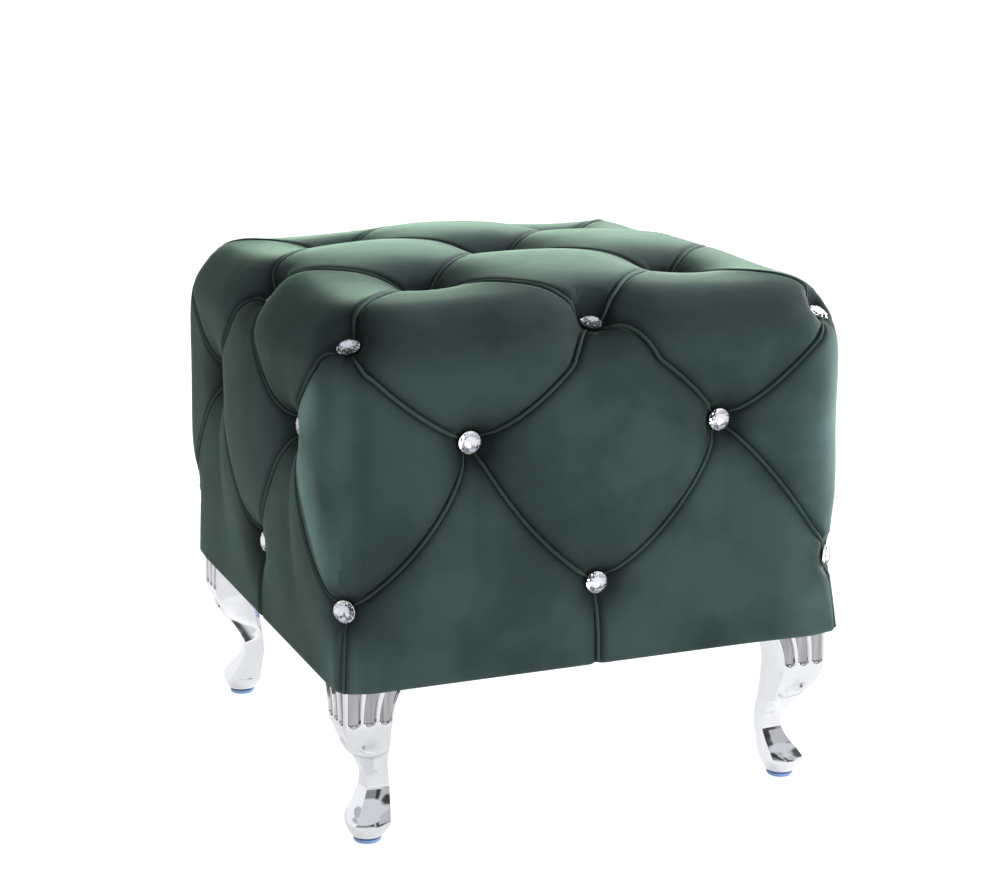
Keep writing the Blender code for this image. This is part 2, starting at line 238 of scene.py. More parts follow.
HEM_HALF = 0.240
DRAWN_IN = 0.004
HALF = HEM_HALF - DRAWN_IN
HEM = 0.148
TOP = 0.453
LOW_ROW = 0.220
MID_ROW = 0.356
QUARTER = HALF / 2

HEM_RADIUS = 0.007
CORNER_RADIUS = 0.027
EDGE_RADIUS = 0.040
EDGE_BLEND = 0.100
EDGE_SLOPE = 0.63

FULLNESS = 2.5
INNER_ARCH = 0.034
OUTER_ARCH = 0.0295
TIP_ARCH = 0.025
UPPER_ARCH = 0.013
NEAR_TIP_ARCH = 0.010
LOWER_ARCH = 0.011
HEM_ARCH = 0.002
TOP_CREST = 0.038
EDGE_CREST = 0.018
SIDE_CREST = 0.018
CORNER_CREST = 0.011
HEM_CREST = 0.011
UNEVEN = 0.0012
WAVES = (
    # how fast the stuffing wanders along X, Y and Z, and where it starts
    (1.7, 0.9, 0.0, 0.4), (0.0, 1.3, -1.9, 2.1), (1.1, 0.0, 2.3, 1.0),
)

PLACES = {
    "left_top": (-HALF, TOP),
    "mid_top": (0.0, TOP),
    "right_top": (HALF, TOP),
    "left_mid": (-QUARTER, MID_ROW),
    "right_mid": (QUARTER, MID_ROW),
    "left_low": (-HALF, LOW_ROW),
    "mid_low": (0.0, LOW_ROW),
    "right_low": (HALF, LOW_ROW),
    "left_in": (-QUARTER, TOP + QUARTER),
    "right_in": (QUARTER, TOP + QUARTER),
    "centre": (0.0, TOP + HALF),
    "round_left": (-2 * HALF + QUARTER, MID_ROW),
}
ROUND_LEFT = {"left_top": "right_top", "left_low": "right_low", "round_left": "right_mid"}
SEAMS = (
    # the two buttons, arch, bow to the right in the plane of a side, the same on the left side
    ("left_top", "left_mid", NEAR_TIP_ARCH, -0.010, -0.004),
    ("mid_top", "left_mid", UPPER_ARCH, 0.010, -0.004),
    ("mid_top", "right_mid", UPPER_ARCH, 0.006, -0.010),
    ("right_top", "right_mid", NEAR_TIP_ARCH, 0.007, 0.0),
    ("left_mid", "left_low", LOWER_ARCH, 0.016, 0.0),
    ("left_mid", "mid_low", LOWER_ARCH, -0.013, -0.012),
    ("right_mid", "mid_low", LOWER_ARCH, 0.012, 0.0),
    ("right_mid", "right_low", LOWER_ARCH, 0.004, -0.014),
    ("left_top", "left_in", TIP_ARCH, 0.0, 0.0),
    ("right_top", "right_in", TIP_ARCH, 0.0, 0.0),
    ("mid_top", "left_in", OUTER_ARCH, 0.0, 0.0),
    ("mid_top", "right_in", OUTER_ARCH, 0.0, 0.0),
    ("left_in", "centre", INNER_ARCH, 0.0, 0.0),
    ("right_in", "centre", INNER_ARCH, 0.0, 0.0),
)
PANELS = (
    # buttons from the lowest and then round by the right, height of the crest
    ("mid_low", "right_mid", "mid_top", "left_mid", SIDE_CREST),
    ("left_low", "left_mid", "left_top", "round_left", CORNER_CREST),
    ("left_mid", "mid_top", "left_in", "left_top", EDGE_CREST),
    ("right_mid", "right_top", "right_in", "mid_top", EDGE_CREST),
    ("mid_top", "right_in", "centre", "left_in", TOP_CREST),
)
HEM_PANELS = (("left_low", "left_mid", "mid_low"), ("mid_low", "right_mid", "right_low"))

PANEL_STEPS = 44
HEM_ROLL = 0.005
HEM_ROLL_STEPS = 5
HEM_STEPS = 26
CROWDING = 0.80
HEM_FULL = 0.8
HEM_SLANT = 0.75
PEAK_SOFT = 0.010
SEAM_DEPTH = 0.0042
SEAM_WIDTH = 0.0030
SEAM_CLEAR = (0.010, 0.032)
SEAT_FLAT = 0.0085
SEAT_RISE = 0.0135
SINK_REACH = 0.026
SINKS = {
    "corner_top": 0.007,
    "edge_top": 0.002,
    "top": 0.004,
    "side_left": 0.008,
    "side_right": 0.008,
    "corner_low": 0.003,
    "side_low": 0.006,
}
EDGE_LEAN = math.radians(20)
CORNER_LEAN = math.radians(28)
PUCKER = 0.0007
PUCKERS = 13
PUCKER_RING = 0.017
PUCKER_WIDTH = 0.008
PUCKER_SWING = 1.9
PUCKER_FADE = 0.4
ASKEW = (0.31, 0.87, 0.39)
SEAT_REACH = 0.060
HEM_DROP = 0.0026
HEM_HELD = (0.205, 0.236)
CORNER_FLARE = 0.0060
CORNER_SLACK = 0.0050
CORNER_REACH = 0.055
SLACK_FROM = (LOW_ROW, 0.260)
SLACK_TO = (0.330, 0.430)


def eased(value, low=0.0, high=1.0):
    """Ease from 0 at low to 1 at high, flat at both ends."""
    held = np.clip((value - low) / (high - low), 0.0, 1.0)
    return held * held * (3 - 2 * held)


def bell(value, width):
    """1 at nought, falling away on both sides."""
    return np.exp(-((value / width) ** 2))


def swell(along):
    """Rise between two buttons: 0 at both, 1 half way."""
    return 1 - np.abs(2 * along - 1) ** FULLNESS


def fold(sheet):
    """Points of the sharp box, from places on its front laid out flat.

    Past the top edge the sheet goes on over the top, and past the left edge along the left side.
    """
    across, up = sheet[..., 0], sheet[..., 1]
    over = up > TOP
    x = np.where(over, across, np.maximum(across, -HALF))
    y = -HALF + np.where(over, up - TOP, np.maximum(-HALF - across, 0.0))
    return np.stack((x, y, np.minimum(up, TOP)), axis=-1)


def round_off(point):
    """Points and outward normals of the rounded box, for points of the sharp box."""
    upright = np.sqrt(np.maximum(point[..., 2] - HEM, 0.0) / (TOP - HEM))
    corner = HEM_RADIUS + (CORNER_RADIUS - HEM_RADIUS) * upright
    nearness = np.abs(point[..., 0] * point[..., 1]) / HALF**2
    edge = EDGE_RADIUS + (CORNER_RADIUS - EDGE_RADIUS) * nearness
    radius = corner + (edge - corner) * eased(point[..., 2], TOP - EDGE_BLEND, TOP)
    high = np.stack((HALF - radius, HALF - radius, TOP - radius), axis=-1)
    low = high * (-1, -1, 0)
    held = np.clip(point, low, high)
    way = (point - held) * (EDGE_SLOPE, EDGE_SLOPE, 1.0)
    normal = way / np.linalg.norm(way, axis=-1, keepdims=True)
    return held + radius[..., None] * normal, normal


def turned(point, turns):
    """Points or directions turned by quarter turns about the upright axis."""
    x, y, z = point[..., 0], point[..., 1], point[..., 2]
    for _ in range(turns % 4):
        x, y = -y, x
    return np.stack((x, y, z), axis=-1)


def unevenness(point):
    """Slow wander of the stuffing, in metres."""
    return UNEVEN / 2 * sum(np.sin(point @ wave / QUARTER + start) for *wave, start in WAVES)


corner_way = np.array((-math.sin(CORNER_LEAN) / math.sqrt(2),) * 2 + (math.cos(CORNER_LEAN),))
edge_way = np.array((0.0, -math.sin(EDGE_LEAN), math.cos(EDGE_LEAN)))
SIDE_BUTTONS = (
    # name, place, facing where it isn't the box's own
    ("corner_top", "left_top", corner_way),
    ("edge_top", "mid_top", edge_way),
    ("top", "left_in", None),
    ("side_left", "left_mid", None),
    ("side_right", "right_mid", None),
    ("corner_low", "left_low", None),
    ("side_low", "mid_low", None),
)
centre, upwards = round_off(np.array((0.0, 0.0, TOP)))
seats = [("button_top_centre", centre - SINKS["top"] * upwards, upwards)]
homes = [(centre, SINKS["top"] * upwards)]
for turns, side in enumerate(("front", "right", "back", "left")):
    for name, place, way in SIDE_BUTTONS:
        middle, normal = round_off(fold(np.array(PLACES[place])))
        facing = normal if way is None else way
        drop = SINKS[name] * facing
        homes.append((turned(middle, turns), turned(drop, turns)))
        middle, facing = turned(middle - drop, turns), turned(facing, turns)
        seats.append((f"button_{name}_{side}", middle, facing))


def settled(point):
    """Points of the cover as it hangs: lower at the hem between its corners.

    The front right corner is slack at half height, and wider at the hem.
    """
    x, y, z = point.T
    up = np.clip((z - HEM) / (LOW_ROW - HEM), 0.0, 1.0)
    held = eased(np.minimum(np.abs(x), np.abs(y)), *HEM_HELD)
    drop = HEM_DROP * (1 - up) ** 2 * (1 - held)
    near = bell(np.hypot(x - HALF, y + HALF), CORNER_REACH)
    slack = CORNER_SLACK * eased(z, *SLACK_FROM) * (1 - eased(z, *SLACK_TO))
    out = near * (CORNER_FLARE * (1 - up) - slack) / math.sqrt(2)
    return point + np.stack((out, -out, -drop), axis=-1)


def drawn_to_buttons(point):
    """Points of the cover, drawn down to the buttons, flat under each and puckered round it."""
    made = point.copy()
    for home, drop in homes:
        made -= bell(np.linalg.norm(point - home, axis=-1), SINK_REACH)[..., None] * drop
    point = made.copy()
    for number, (_, middle, facing) in enumerate(seats):
        away = point - middle
        near = np.linalg.norm(away, axis=-1) < SEAT_REACH
        rise = away[near] @ facing
        flat = away[near] - rise[:, None] * facing
        radius = np.linalg.norm(flat, axis=-1)
        right = np.cross(facing, ASKEW)
        right /= np.linalg.norm(right)
        angle = np.arctan2(flat @ np.cross(facing, right), flat @ right)
        waves = np.sin(PUCKERS * angle + PUCKER_SWING * np.sin(2 * angle + number) + number)
        waves *= 1 - PUCKER_FADE + PUCKER_FADE * np.sin(3 * angle + 2.3 * number)
        pucker = PUCKER * waves * bell(radius - PUCKER_RING, PUCKER_WIDTH)
        lifted = rise * eased(radius, SEAT_FLAT, SEAT_FLAT + SEAT_RISE) + pucker
        made[near] = middle + flat + lifted[:, None] * facing
    return made


def grooved(point, normal, height, gap, turns):
    """Points of one panel, with the groove of its seams fading out towards the buttons."""
    made = turned(point + height[..., None] * normal, turns)
    clear = np.min([np.linalg.norm(made - middle, axis=-1) for _, middle, _ in seats], axis=0)
    depth = SEAM_DEPTH * bell(gap, SEAM_WIDTH) * eased(clear, *SEAM_CLEAR)
    return made - depth[..., None] * turned(normal, turns)


def seam(one, other, turns):
    """Arch of the seam between two buttons, and its bow as a move on the sheet laid out flat."""
    run = np.subtract(PLACES[other], PLACES[one])
    aside = np.array((abs(run[1]), -math.copysign(run[0], run[0] * run[1]))) / math.hypot(*run)
    names = {one, other}
    if "round_left" in names:
        names = {ROUND_LEFT[name] for name in names}
        turns -= 1
    for first, second, arch, bow, left_bow in SEAMS:
        if {first, second} == names:
            return arch, aside * (left_bow if turns % 4 == 3 else bow)
    raise ValueError(f"no seam between {one} and {other}")


def on_seam(start, end, bow, along):
    """Places on a seam, laid out flat."""
    along = along[..., None]
    return (1 - along) * np.array(start) + along * np.array(end) + 4 * along * (1 - along) * bow


def crowded(steps):
    """Grid lines from 0 to 1, close together at both ends."""
    even = np.linspace(0.0, 1.0, steps + 1)
    return even - CROWDING * np.sin(2 * math.pi * even) / (2 * math.pi)


def diamond_panel(names, crest, turns):
    """Grid of a puffed panel between four buttons, blended from its four seams."""
    a, b = np.meshgrid(crowded(PANEL_STEPS), crowded(PANEL_STEPS))
    low, right, high, left = (np.array(PLACES[name]) for name in names)
    seams = [seam(names[n], names[(n + 1) % 4], turns) for n in range(4)]
    rise = crest - sum(arch for arch, _ in seams) / 2
    e, f = a[..., None], b[..., None]
    place = (1 - f) * ((1 - e) * low + e * right) + f * ((1 - e) * left + e * high)
    height = rise * swell(a) * swell(b)
    for (arch, bow), along, share in zip(seams, (a, b, a, b), (1 - b, a, b, 1 - a)):
        place = place + (share * 4 * along * (1 - along))[..., None] * bow
        height = height + share * swell(along) * arch
    point, normal = round_off(fold(place))
    height = height + unevenness(turned(point, turns)) * swell(a) * swell(b)
    length = np.linalg.norm(right - low)
    gap = length * np.minimum(np.minimum(a, 1 - a), np.minimum(b, 1 - b))
    return grooved(point, normal, height, gap, turns)


def hem_panel(names, turns):
    """Grid of the panel below two seams that meet at a peak, rolled under at the hem."""
    lines = crowded(PANEL_STEPS)
    along = np.concatenate((lines, lines[1:]))
    half = np.repeat((0, 1), (PANEL_STEPS + 1, PANEL_STEPS))
    rims = []
    for n in range(2):
        bow = seam(names[n], names[n + 1], turns)[1]
        rims.append(on_seam(PLACES[names[n]], PLACES[names[n + 1]], bow, along))
    rim = np.where(half[:, None] == 0, rims[0], rims[1])
    roll = np.linspace(0.0, math.pi / 2, HEM_ROLL_STEPS + 1)[:, None]
    share = crowded(HEM_STEPS)[1:, None]
    tall = rim[:, 1] - HEM
    rising = HEM_ROLL * (1 - np.cos(roll)) / tall
    up = HEM_ROLL / tall
    b = np.concatenate((rising, up + (1 - up) * share))
    tuck = np.concatenate((HEM_ROLL * (1 - np.sin(roll)), np.zeros_like(share)))
    a = (along + half) / 2
    across = np.broadcast_to(rim[:, 0], b.shape)
    point, normal = round_off(fold(np.stack((across, HEM + tall * b), axis=-1)))
    upright = DRAWN_IN * (1 - b) ** 2 + HEM_ARCH * swell(b)
    peak = tall.max()
    level = b * tall / (peak + PEAK_SOFT - np.hypot(peak - tall, PEAK_SOFT))
    filled = DRAWN_IN * (1 - b) ** 2 + HEM_CREST * eased(level, 0.0, HEM_FULL)
    inside = upright + (filled - upright) * swell(a)
    height = inside + (LOWER_ARCH * swell(along) - inside) * b**4 - tuck
    width = np.abs(PLACES[names[2]][0] - PLACES[names[0]][0])
    beside = width * np.minimum(a, 1 - a)
    below = tall * (1 - b) * HEM_SLANT
    return grooved(point, normal, height, np.minimum(beside, below), turns)


WELD = 0.00001

grids = []
for turns in range(4):
    for *names, crest in PANELS:
        grids.append(diamond_panel(names, crest, turns))
    for names in HEM_PANELS:
        grids.append(hem_panel(names, turns))
corners, quads, count = [], [], 0
for grid in grids:
    rows, columns = grid.shape[:2]
    number = count + np.arange(rows * columns).reshape(rows, columns)
    quads.append(np.stack(
        (number[:-1, :-1], number[:-1, 1:], number[1:, 1:], number[1:, :-1]), axis=-1
    ).reshape(-1, 4))
    corners.append(grid.reshape(-1, 3))
    count += rows * columns
cover_data = bpy.data.meshes.new("velvet_cover")
cover_data.from_pydata(np.concatenate(corners).tolist(), [], np.concatenate(quads).tolist())
sheet = bmesh.new()
sheet.from_mesh(cover_data)
bmesh.ops.remove_doubles(sheet, verts=sheet.verts, dist=WELD)
hem_edges = [edge for edge in sheet.edges if edge.is_boundary]
for vert in {vert for edge in hem_edges for vert in edge.verts}:
    vert.co.z = HEM
bmesh.ops.contextual_create(sheet, geom=hem_edges)
before = np.array([vert.co for vert in sheet.verts])
for vert, place in zip(sheet.verts, drawn_to_buttons(settled(before))):
    vert.co = place
bmesh.ops.recalc_face_normals(sheet, faces=sheet.faces)
sheet.to_mesh(cover_data)
sheet.free()
cover_data.shade_smooth()

STONE_RADIUS = 0.0100
# How far the painted shade reaches round the stones and along the piping.
PIT_REACH = 0.020
CHANNEL_REACH = 0.0075
# Where the painted highlight on the pile lies and how strong it is, and the painted shade round
# the top edge.
HIGHLIGHT_END = 0.240
HIGHLIGHT_RIGHT = 0.170
HIGHLIGHT_LEFT = 0.216
HIGHLIGHT_FAR_LEFT = 0.198
HIGHLIGHT_TOP = TOP + 0.02
HIGHLIGHT_FADE = 0.05
ROUND_GAIN = 1.0
ROUND_WIDTH = 0.100
RIM_GAIN = 3.6
RIM_WIDTH = 0.045
RIM_SEAM = 0.004
RIM_FROM = (LOW_ROW, 0.280)
RIM_TO = (0.370, 0.430)
CROWN_SHADE = 0.30
CROWN_WIDTH = 0.025


def keep_values(name, values):
    """Values of the cover's points, for its material."""
    cover_data.attributes.new(name, "FLOAT", "POINT").data.foreach_set("value", values)


def painted_pile_light(point):
    """Painted highlight on the pile, and below nought painted shade.

    The painted highlight lies at both ends of each side, and most where the left side's front puff
    turns away.
    The painted shade lies round the top edge, except on the left side.
    """
    x, y, z = point.T
    sides = [turned(point, turns) for turns in range(4)]
    faced = [side[:, 1] < -np.abs(side[:, 0]) for side in sides]
    along = np.select(faced, [side[:, 0] for side in sides])
    on_left = x < -np.abs(y)
    start = np.where(on_left, HIGHLIGHT_FAR_LEFT, HIGHLIGHT_LEFT)
    ends = np.maximum(eased(along, HIGHLIGHT_RIGHT, HIGHLIGHT_END), eased(-along, start, HIGHLIGHT_END))
    ends *= eased(HIGHLIGHT_TOP - z, 0.0, HIGHLIGHT_FADE)
    tall = np.where(z > MID_ROW, TOP - MID_ROW, MID_ROW - LOW_ROW)
    inside = along - QUARTER * (1 + np.abs(z - MID_ROW) / tall)
    rim = RIM_GAIN * bell(inside, RIM_WIDTH) + ROUND_GAIN * bell(inside, ROUND_WIDTH)
    rim *= on_left * eased(inside, -RIM_SEAM, RIM_SEAM)
    rim *= eased(z, *RIM_FROM) * (1 - eased(z, *RIM_TO))
    crown = np.where(on_left, 0.0, CROWN_SHADE) * bell(z - TOP, CROWN_WIDTH)
    return np.maximum(ends, rim) - crown


cover_points = np.array([vert.co for vert in cover_data.vertices])
# Painted highlight and painted shade on the pile, kept for its material.
keep_values("opened", painted_pile_light(cover_points))
# Painted shade round each stone, darkest at its edge.
to_stones = [np.linalg.norm(cover_points - middle, axis=-1) for _, middle, _ in seats]
pit = bell(np.maximum(np.min(to_stones, axis=0) - STONE_RADIUS, 0.0), PIT_REACH)
keep_values("pit", pit)
cover = add_to_scene("velvet_cover", cover_data)

PILE_DARK = (0.040, 0.066, 0.064, 1)
PILE_LIGHT = (0.072, 0.114, 0.110, 1)
PILE_SHEEN = (0.55, 0.85, 0.60, 1)
PILE_NOISES = (
    # scale, detail, roughness of the lie of the nap, the brush marks and the tufts
    (9.0, 3.0, 0.55), (52.0, 6.0, 0.7), (1500.0, 2.0, 0.6),
)
BRUSH_SHARE = 0.60
TUFT_SHARE = 0.45
# Gains of the painted highlight, and of the painted shade round the stones and along the piping.
PAINTED_LIGHT_GAINS = (("opened", 1.1), ("pit", -0.55), ("channel", -0.55))

velvet, tree, shader = new_material("green_velvet")
where = node(tree, "ShaderNodeTexCoord").outputs["Object"]
nap, brushed, pile = (
    node(tree, "ShaderNodeTexNoise", Vector=where, Scale=scale, Detail=detail, Roughness=grain)
    .outputs["Fac"]
    for scale, detail, grain in PILE_NOISES
)
shade = spread(tree, nap, interpolation_type="SMOOTHSTEP", From_Min=0.30, From_Max=0.72)
for texture, share in ((brushed, BRUSH_SHARE), (pile, TUFT_SHARE)):
    added = node(tree, "ShaderNodeMath", operation="MULTIPLY_ADD", _0=texture, _1=share, _2=shade)
    shade = added.outputs[0]
shade = spread(tree, shade, From_Min=0.45, From_Max=1.30)
colour = mixed(tree, shade, PILE_DARK, PILE_LIGHT)
# The pile's colour is lightened by painted highlight and darkened by painted shade.
for name, gain in PAINTED_LIGHT_GAINS:
    value = node(tree, "ShaderNodeAttribute", attribute_name=name).outputs["Fac"]
    factor = node(tree, "ShaderNodeMath", operation="MULTIPLY_ADD", _0=value, _1=gain, _2=1.0)
    scaled = node(tree, "ShaderNodeVectorMath", operation="SCALE", _0=colour)
    colour = fill(scaled, Scale=factor.outputs[0]).outputs["Vector"]
fuzz = node(tree, "ShaderNodeBump", Strength=0.45, Distance=0.0005, Height=pile)
creases = node(tree, "ShaderNodeBump", Strength=0.20, Distance=0.0012, Height=brushed)
fill(creases, Normal=fuzz.outputs["Normal"])
fill(
    shader, Base_Color=colour, Roughness=spread(tree, brushed, To_Min=0.70, To_Max=0.92),
    Normal=creases.outputs["Normal"], Specular_IOR_Level=0.15,
    Sheen_Weight=0.8, Sheen_Roughness=0.22, Sheen_Tint=PILE_SHEEN,
)
cover_data.materials.append(velvet)
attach(cover, "root")
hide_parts("tufted_body")

# --- Piping ------------------------------------------------------------------------------
# A narrow piping of the same velvet, sewn into every seam from button to button and down the
# four corners and mid sides to the hem. It lies half sunk, and slips under the buttons.

CORD_RADIUS = 0.0017
CORD_SIDES = 10
CORD_RISE = -0.0012
CORD_SUNK = -0.0018
CORD_HEM = 0.0030
CORD_STEPS = 64
CORD_END = 0.0085
CORD_FULL = 0.026
CORD_TIP = 0.45
NEXT_SIDE_SEAMS = (("right_top", "right_in"), ("right_in", "centre"))


def cord_points(start, end, arch, bow, turns):
    """Points of the piping along a seam, from button to button."""
    along = crowded(CORD_STEPS)
    point, normal = round_off(fold(on_seam(PLACES[start], PLACES[end], bow, along)))
    height = swell(along) * arch + CORD_RISE
    return turned(point + height[:, None] * normal, turns)


def upright_points(name, turns):
    """Points of the piping from a low button down to the hem."""
    across, high = PLACES[name]
    low = CORD_HEM / (high - HEM)
    b = low + (1 - low) * crowded(CORD_STEPS)
    sheet = np.stack((np.full_like(b, across), HEM + (high - HEM) * b), axis=-1)
    point, normal = round_off(fold(sheet))
    height = (DRAWN_IN * (1 - b) ** 2 + HEM_ARCH * swell(b)) * (1 - b**4) + CORD_SUNK
    return turned(point + height[:, None] * normal, turns)


strands = []
for turns in range(4):
    for start, end, *_ in SEAMS:
        if (start, end) not in NEXT_SIDE_SEAMS:
            arch, bow = seam(start, end, turns)
            strands.append(cord_points(start, end, arch, bow, turns))
    for name in ("left_low", "mid_low"):
        strands.append(upright_points(name, turns))
strands = [drawn_to_buttons(settled(strand)) for strand in strands]

sewn = np.concatenate(strands)
sewn_tree = KDTree(len(sewn))
for number, place in enumerate(sewn):
    sewn_tree.insert(place, number)
sewn_tree.balance()
# Painted shade along the piping, darkest at the cord.
gaps = np.array([sewn_tree.find(place)[2] for place in cover_points])
keep_values("channel", bell(gaps, CHANNEL_REACH))

middles = np.array([middle for _, middle, _ in seats])
paths = bpy.data.curves.new("piping_paths", "CURVE")
paths.dimensions = "3D"
for strand in strands:
    clear = np.linalg.norm(strand[:, None] - middles, axis=-1).min(axis=1)
    kept = clear > CORD_END
    strand, clear = strand[kept], clear[kept]
    spline = paths.splines.new("POLY")
    spline.points.add(len(strand) - 1)
    spline.points.foreach_set("co", np.c_[strand, np.ones(len(strand))].ravel())
    thickness = CORD_TIP + (1 - CORD_TIP) * eased(clear, CORD_END, CORD_FULL)
    spline.points.foreach_set("radius", thickness)
path_object = add_to_scene("piping", paths)


def new_tree(kind, name, inputs, outputs):
    """A node tree with named inputs and outputs, what its inputs give, and its output node.

    Each input or output is a name, a kind of socket and, where it has one, a value.
    """
    made = bpy.data.node_groups.new(name, kind)
    for way, sockets in (("INPUT", inputs), ("OUTPUT", outputs)):
        for label, socket, *value in sockets:
            added = made.interface.new_socket(
                label, in_out=way, socket_type=f"NodeSocket{socket}"
            )
            if value:
                added.default_value = value[0]
    return made, made.nodes.new("NodeGroupInput").outputs, made.nodes.new("NodeGroupOutput")


def finish_tree(tree, given, out, geometry):
    """The end of a geometry tree: real geometry with its material on."""
    plain = node(tree, "GeometryNodeRealizeInstances", Geometry=geometry)
    painted = node(tree, "GeometryNodeSetMaterial", Geometry=plain.outputs["Geometry"])
    fill(painted, Material=given["Material"])
    fill(out, Geometry=painted.outputs["Geometry"])


def made_plain(obj, tree, name, **values):
    """Run a geometry node tree on an object and return its result as a plain mesh object."""
    modifier = obj.modifiers.new("making", "NODES")
    modifier.node_group = tree
    for item in tree.interface.items_tree:
        label = item.name.replace(" ", "_").lower()
        if item.in_out == "INPUT" and label in values:
            modifier[item.identifier] = values[label]
    evaluated = obj.evaluated_get(bpy.context.evaluated_depsgraph_get())
    mesh = bpy.data.meshes.new_from_object(evaluated)
    mesh.name = name
    data = obj.data
    bpy.data.objects.remove(obj, do_unlink=True)
    if isinstance(data, bpy.types.Curve):
        bpy.data.curves.remove(data)
    else:
        bpy.data.meshes.remove(data)
    return add_to_scene(name, mesh)


GEOMETRY = ("Geometry", "Geometry")
tree, given, out = new_tree(
    "GeometryNodeTree", "piping_along_seams",
    (GEOMETRY, ("Cord Radius", "Float", CORD_RADIUS), ("Sides", "Int", CORD_SIDES),
     ("Material", "Material")),
    (GEOMETRY,),
)
profile = node(
    tree, "GeometryNodeCurvePrimitiveCircle",
    Radius=given["Cord Radius"], Resolution=given["Sides"],
)
sweep = node(
    tree, "GeometryNodeCurveToMesh", Curve=given["Geometry"],
    Profile_Curve=profile.outputs["Curve"], Fill_Caps=True,
    Scale=node(tree, "GeometryNodeInputRadius").outputs["Radius"],
)
finish_tree(tree, given, out, sweep.outputs["Mesh"])

cord_velvet = velvet.copy()
cord_velvet.name = "piping_velvet"
piping = made_plain(path_object, tree, "piping", material=cord_velvet)
piping.data.shade_smooth()
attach(piping, "root")

# --- Cut stones --------------------------------------------------------------------------
# Twenty-nine round cut glass stones, 20 mm across, silvered behind and set in the pits. Each
# is a ten-sided brilliant: table, star, kite and girdle facets over a shallow back.

STONE_SIDES = 10
STONE_GAP = 0.0003
# Radius and height of each ring.
STONE_TABLE = (0.0056, 0.0066)
STONE_STAR = (0.0082, 0.0056)
STONE_UPPER = (STONE_RADIUS, 0.0038)
STONE_LOWER = (STONE_RADIUS, 0.0029)
STONE_BACK = (0.0045, 0.0013)
STONE_POINT = 0.0008
FOIL_RIM = (0.0098, 0.0028)
FOIL_BEND = (0.0045, 0.0011)
FOIL_FOOT = (0.0055, 0.0)
FOIL_MIDDLE = 0.0006


def ring(shape, radius, height, sides, shift=0.0):
    """A ring of points, the first one turned by a share of a step."""
    steps = [2 * math.pi * (n + shift) / sides for n in range(sides)]
    return [shape.verts.new((radius * math.cos(t), radius * math.sin(t), height)) for t in steps]


def stone_mesh():
    """The glass of one stone, its foot at the origin and its table towards +Z."""
    n = STONE_SIDES
    shape = bmesh.new()
    table = ring(shape, *STONE_TABLE, n)
    star = ring(shape, *STONE_STAR, n, 0.5)
    upper = ring(shape, *STONE_UPPER, 2 * n)
    lower = ring(shape, *STONE_LOWER, 2 * n)
    back = ring(shape, *STONE_BACK, n, 0.5)
    shape.faces.new(table)
    for k in range(n):
        after = (k + 1) % n
        here, half, there = upper[2 * k], upper[2 * k + 1], upper[(2 * k + 2) % (2 * n)]
        shape.faces.new((table[k], table[after], star[k]))
        shape.faces.new((table[k], star[k - 1], here, star[k]))
        shape.faces.new((star[k], here, half))
        shape.faces.new((star[k], half, there))
        shape.faces.new((back[k - 1], back[k], lower[2 * k]))
        shape.faces.new((back[k], lower[2 * k + 1], lower[2 * k]))
        shape.faces.new((back[k], lower[(2 * k + 2) % (2 * n)], lower[2 * k + 1]))
    for k in range(2 * n):
        after = (k + 1) % (2 * n)
        shape.faces.new((upper[k], upper[after], lower[after], lower[k]))
    point = shape.verts.new((0.0, 0.0, STONE_POINT))
    for k in range(n):
        shape.faces.new((back[(k + 1) % n], back[k], point))
    return shape


def foil_mesh():
    """The silvered cup behind one stone."""
    n = STONE_SIDES
    shape = bmesh.new()
    rim = ring(shape, *FOIL_RIM, 2 * n)
    inner = ring(shape, *FOIL_BEND, 2 * n)
    foot = ring(shape, *FOIL_FOOT, 2 * n)
    middle = shape.verts.new((0.0, 0.0, FOIL_MIDDLE))
    for k in range(2 * n):
        after = (k + 1) % (2 * n)
        shape.faces.new((rim[k], rim[after], inner[after], inner[k]))
        shape.faces.new((inner[k], inner[after], middle))
        shape.faces.new((rim[after], rim[k], foot[k], foot[after]))
    shape.faces.new(list(reversed(foot)))
    return shape


def faceted(name, shape):
    """A bmesh as mesh data with its normals outwards and its facets flat."""
    bmesh.ops.recalc_face_normals(shape, faces=shape.faces)
    made = bpy.data.meshes.new(name)
    shape.to_mesh(made)
    shape.free()
    made.shade_flat()
    return made


TURNS_SEED = 4

setting, given, out = new_tree(
    "GeometryNodeTree", "stones_on_seats",
    (GEOMETRY, ("Stone", "Object"), ("Seed", "Int", TURNS_SEED), ("Material", "Material")),
    (GEOMETRY,),
)
ways = node(
    setting, "GeometryNodeInputNamedAttribute", data_type="FLOAT_VECTOR", Name="facing"
)
upright = node(
    setting, "FunctionNodeAlignRotationToVector", axis="Z", Vector=ways.outputs["Attribute"]
)
spin = node(
    setting, "FunctionNodeRandomValue", data_type="FLOAT", _3=2 * math.pi, Seed=given["Seed"]
)
twist = node(setting, "FunctionNodeAxisAngleToRotation", Angle=spin.outputs[1])
both = node(
    setting, "FunctionNodeRotateRotation", rotation_space="LOCAL",
    Rotation=upright.outputs["Rotation"], Rotate_By=twist.outputs["Rotation"],
)
picked = node(setting, "GeometryNodeObjectInfo", Object=given["Stone"])
placed = node(
    setting, "GeometryNodeInstanceOnPoints", Points=given["Geometry"],
    Instance=picked.outputs["Geometry"], Rotation=both.outputs["Rotation"],
)
finish_tree(setting, given, out, placed.outputs["Instances"])


